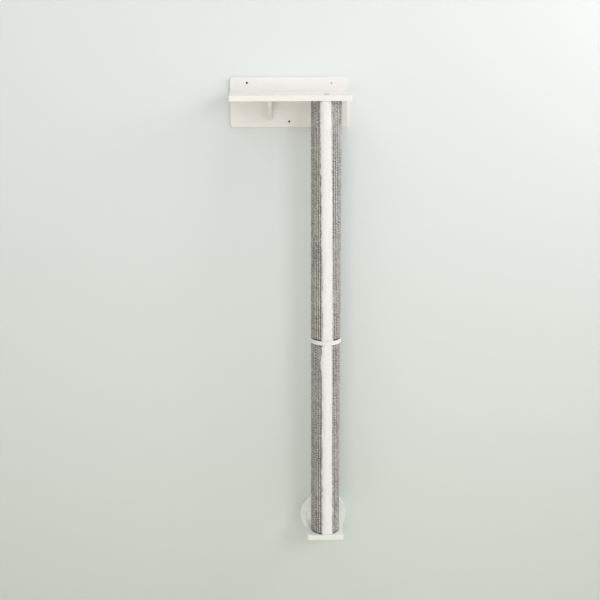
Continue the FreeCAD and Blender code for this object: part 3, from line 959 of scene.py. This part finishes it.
def circle(x, z, radius, points=64):
    return arc(x, z, radius, 0, 1, points)


def rounded_box(left, right, bottom, top, radius):
    """The outline of an upright rectangle with round corners."""
    corners = ((right, top), (left, top), (left, bottom), (right, bottom))
    outline = []
    for quarter, (x, z) in enumerate(corners):
        middle_x = x + (radius if x == left else -radius)
        middle_z = z + (radius if z == bottom else -radius)
        outline += arc(middle_x, middle_z, radius, quarter / 4, (quarter + 1) / 4, 12)
    return outline


def make_room():
    """A plain wall and floor. The wall is open behind the boards, so that their backs get light.

    Small dark sheets of painted shade sit behind the screw holes, but none behind the upper right hole,
    which looks pale.
    """
    paint = one_sided("wall_backdrop_paint", wall_shade, 0.9)
    dark = one_sided("drilled_hole_shade", hole_shade, 1.0)

    plate_low, plate_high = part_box("wall_plate")
    disc_low, disc_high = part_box("wall_disc")
    disc_x, disc_z = (disc_low.x + disc_high.x) / 2, (disc_low.z + disc_high.z) / 2
    behind_plate = rounded_box(plate_low.x + OPENING_INSET, plate_high.x - OPENING_INSET,
                               plate_low.z + OPENING_INSET, plate_high.z - OPENING_INSET, PLATE_CORNER)
    outer = [(-WALL_REACH, FLOOR_LEVEL), (WALL_REACH, FLOOR_LEVEL),
             (WALL_REACH, WALL_TOP), (-WALL_REACH, WALL_TOP)]
    behind_disc = circle(disc_x, disc_z, (disc_high.x - disc_low.x) / 2 - OPENING_INSET)
    wall_sheet("wall_backdrop", [outer, behind_plate, behind_disc], paint)

    screwed = [mount for mount in frame["record"]["mounts"] if mount["kind"] != "flat_face"]
    places = sorted(set().union(*map(hole_places, screwed)), key=lambda place: (place[1], place[0]))
    # Sheets of painted shade behind the screw holes, but not behind the last, the upper right one.
    for number, (x, z) in enumerate(places[:-1]):
        wall_sheet(f"drilled_hole_{number}", [circle(x, z, SHADE_SHEET_WIDTH / 2, 24)], dark)

    corners = np.array([(-1, -1), (1, -1), (1, 1), (-1, 1)]) * WALL_REACH
    points = np.column_stack([corners, [FLOOR_LEVEL] * len(corners)])
    ground = new_mesh("floor_backdrop", points, [(0, 1, 2, 3)], smooth=False)
    ground.data.materials.append(one_sided("floor_paint", floor_shade, 0.8))


def area_light(name, target, azimuth, elevation, distance, size, power, colour):
    """A soft square light that looks at target, from in front at azimuth 0 and from +X at 90."""
    lamp = bpy.data.lights.new(name, "AREA")
    lamp.shape, lamp.size, lamp.energy, lamp.color = "SQUARE", size, power, colour
    light = bpy.data.objects.new(name, lamp)
    aside, up = math.radians(azimuth), math.radians(elevation)
    away = Vector((math.sin(aside) * math.cos(up), -math.cos(aside) * math.cos(up), math.sin(up)))
    turn = away.to_track_quat("Z", "Y").to_matrix().to_4x4()
    light.matrix_world = Matrix.Translation(Vector(target) + away * distance) @ turn
    light.visible_camera = False
    bpy.context.scene.collection.objects.link(light)


def make_light(half):
    target = (half.x, half.y, LIGHT_LEVEL)
    area_light("key_light", target, azimuth=23.0, elevation=13.0, distance=4.6, size=1.38,
               power=31.6, colour=(0.97, 0.97, 1.0))
    area_light("fill_light", target, azimuth=-11.0, elevation=-8.0, distance=2.6, size=0.8,
               power=12.4, colour=(1.0, 0.95, 0.86))
    area_light("top_light", target, azimuth=15.0, elevation=60.0, distance=4.5, size=1.3,
               power=13.4, colour=(1.0, 1.0, 1.0))
    area_light("side_light", target, azimuth=76.0, elevation=25.0, distance=2.2, size=1.2,
               power=19.6, colour=(1.0, 1.0, 1.0))
    area_light("left_light", target, azimuth=-42.0, elevation=48.0, distance=3.4, size=1.0,
               power=8.4, colour=(1.0, 1.0, 1.0))

    world = bpy.data.worlds.new("soft_room")
    bpy.context.scene.world = world
    world.use_nodes = True
    tree = world.node_tree
    tree.nodes.clear()
    rays = add_node(tree, "LightPath").outputs
    seen = maths(tree, "MAXIMUM", rays["Is Camera Ray"], rays["Is Glossy Ray"])
    seen = maths(tree, "MAXIMUM", seen, rays["Is Transmission Ray"])
    towards = add_node(tree, "TexCoord").outputs["Generated"]
    sides = {0: towards, 1: WORLD_BRIGHT_SIDE}
    bright_side = add_node(tree, "VectorMath", sides, operation="DOT_PRODUCT").outputs["Value"]
    behind = add_node(tree, "SeparateXYZ", {0: towards}).outputs["Y"]
    strength = plus(tree, ramp(tree, bright_side, -1.0, 1.0, WORLD_DIM, WORLD_BRIGHT),
                    ramp(tree, behind, 0.0, 1.0, 0.0, WORLD_BEHIND))
    lit = add_node(tree, "Background", {"Color": (1.0, 1.0, 1.0, 1.0), "Strength": strength})
    shown = add_node(tree, "Background", {"Color": WALL_PAINT, "Strength": 1.0})
    mix = add_node(tree, "MixShader", {0: seen, 1: lit.outputs[0], 2: shown.outputs[0]})
    output = tree.nodes.new("ShaderNodeOutputWorld")
    tree.links.new(mix.outputs[0], output.inputs["Surface"])


def make_camera():
    lens = bpy.data.cameras.new("photo_camera")
    lens.lens, lens.sensor_width = CAMERA_LENS, SENSOR_WIDTH
    lens.clip_end = 50.0
    camera = bpy.data.objects.new("photo_camera", lens)
    aim = Matrix.Rotation(CAMERA_TURN, 4, "Z") @ Matrix.Rotation(math.pi / 2 - CAMERA_DOWN, 4, "X")
    aim = Matrix.Translation(CAMERA_PLACE) @ aim
    camera.matrix_world = aim @ Matrix.Rotation(CAMERA_ROLL, 4, "Z")
    bpy.context.scene.collection.objects.link(camera)
    bpy.context.scene.camera = camera


# The object

def dress_cad_nodes(materials):
    """Gives each CAD node its slot's finish, with painted shade in drilled holes and painted bounce
    light at the foot.
    """
    drilled = {"platform_board": "bolted_board", "wall_plate": "wall_board",
               "base_plate": "foot_board_painted_bounce", "wall_disc": "disc_board_painted_bounce"}
    for name, node in frame["nodes"].items():
        node.data.materials[0] = materials[drilled.get(name, node.data.materials[0].name)]


def dress_post(half, materials, seed):
    mat, stray = woven_mat(half, seed), stray_fibres(half, seed)
    strip, tufts = plush_strip(half, seed + 50), plush_tufts(half, seed + 50)
    slots = ((mat, "woven_mat"), (stray, "woven_mat"), (strip, "plush"), (tufts, "plush"))
    for piece, slot in slots:
        piece.data.materials.append(materials[slot])
        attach(piece, "root")
    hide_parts(half.prefix + "_woven_cover")
    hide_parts(half.prefix + "_plush_strip")


bpy.context.scene.view_settings.view_transform = "Standard"
upper, lower = Half("upper"), Half("lower")
materials = make_materials()
dress_cad_nodes(materials)
dress_post(upper, materials, 100)
dress_post(lower, materials, 200)
make_room()
make_light(upper)
make_camera()
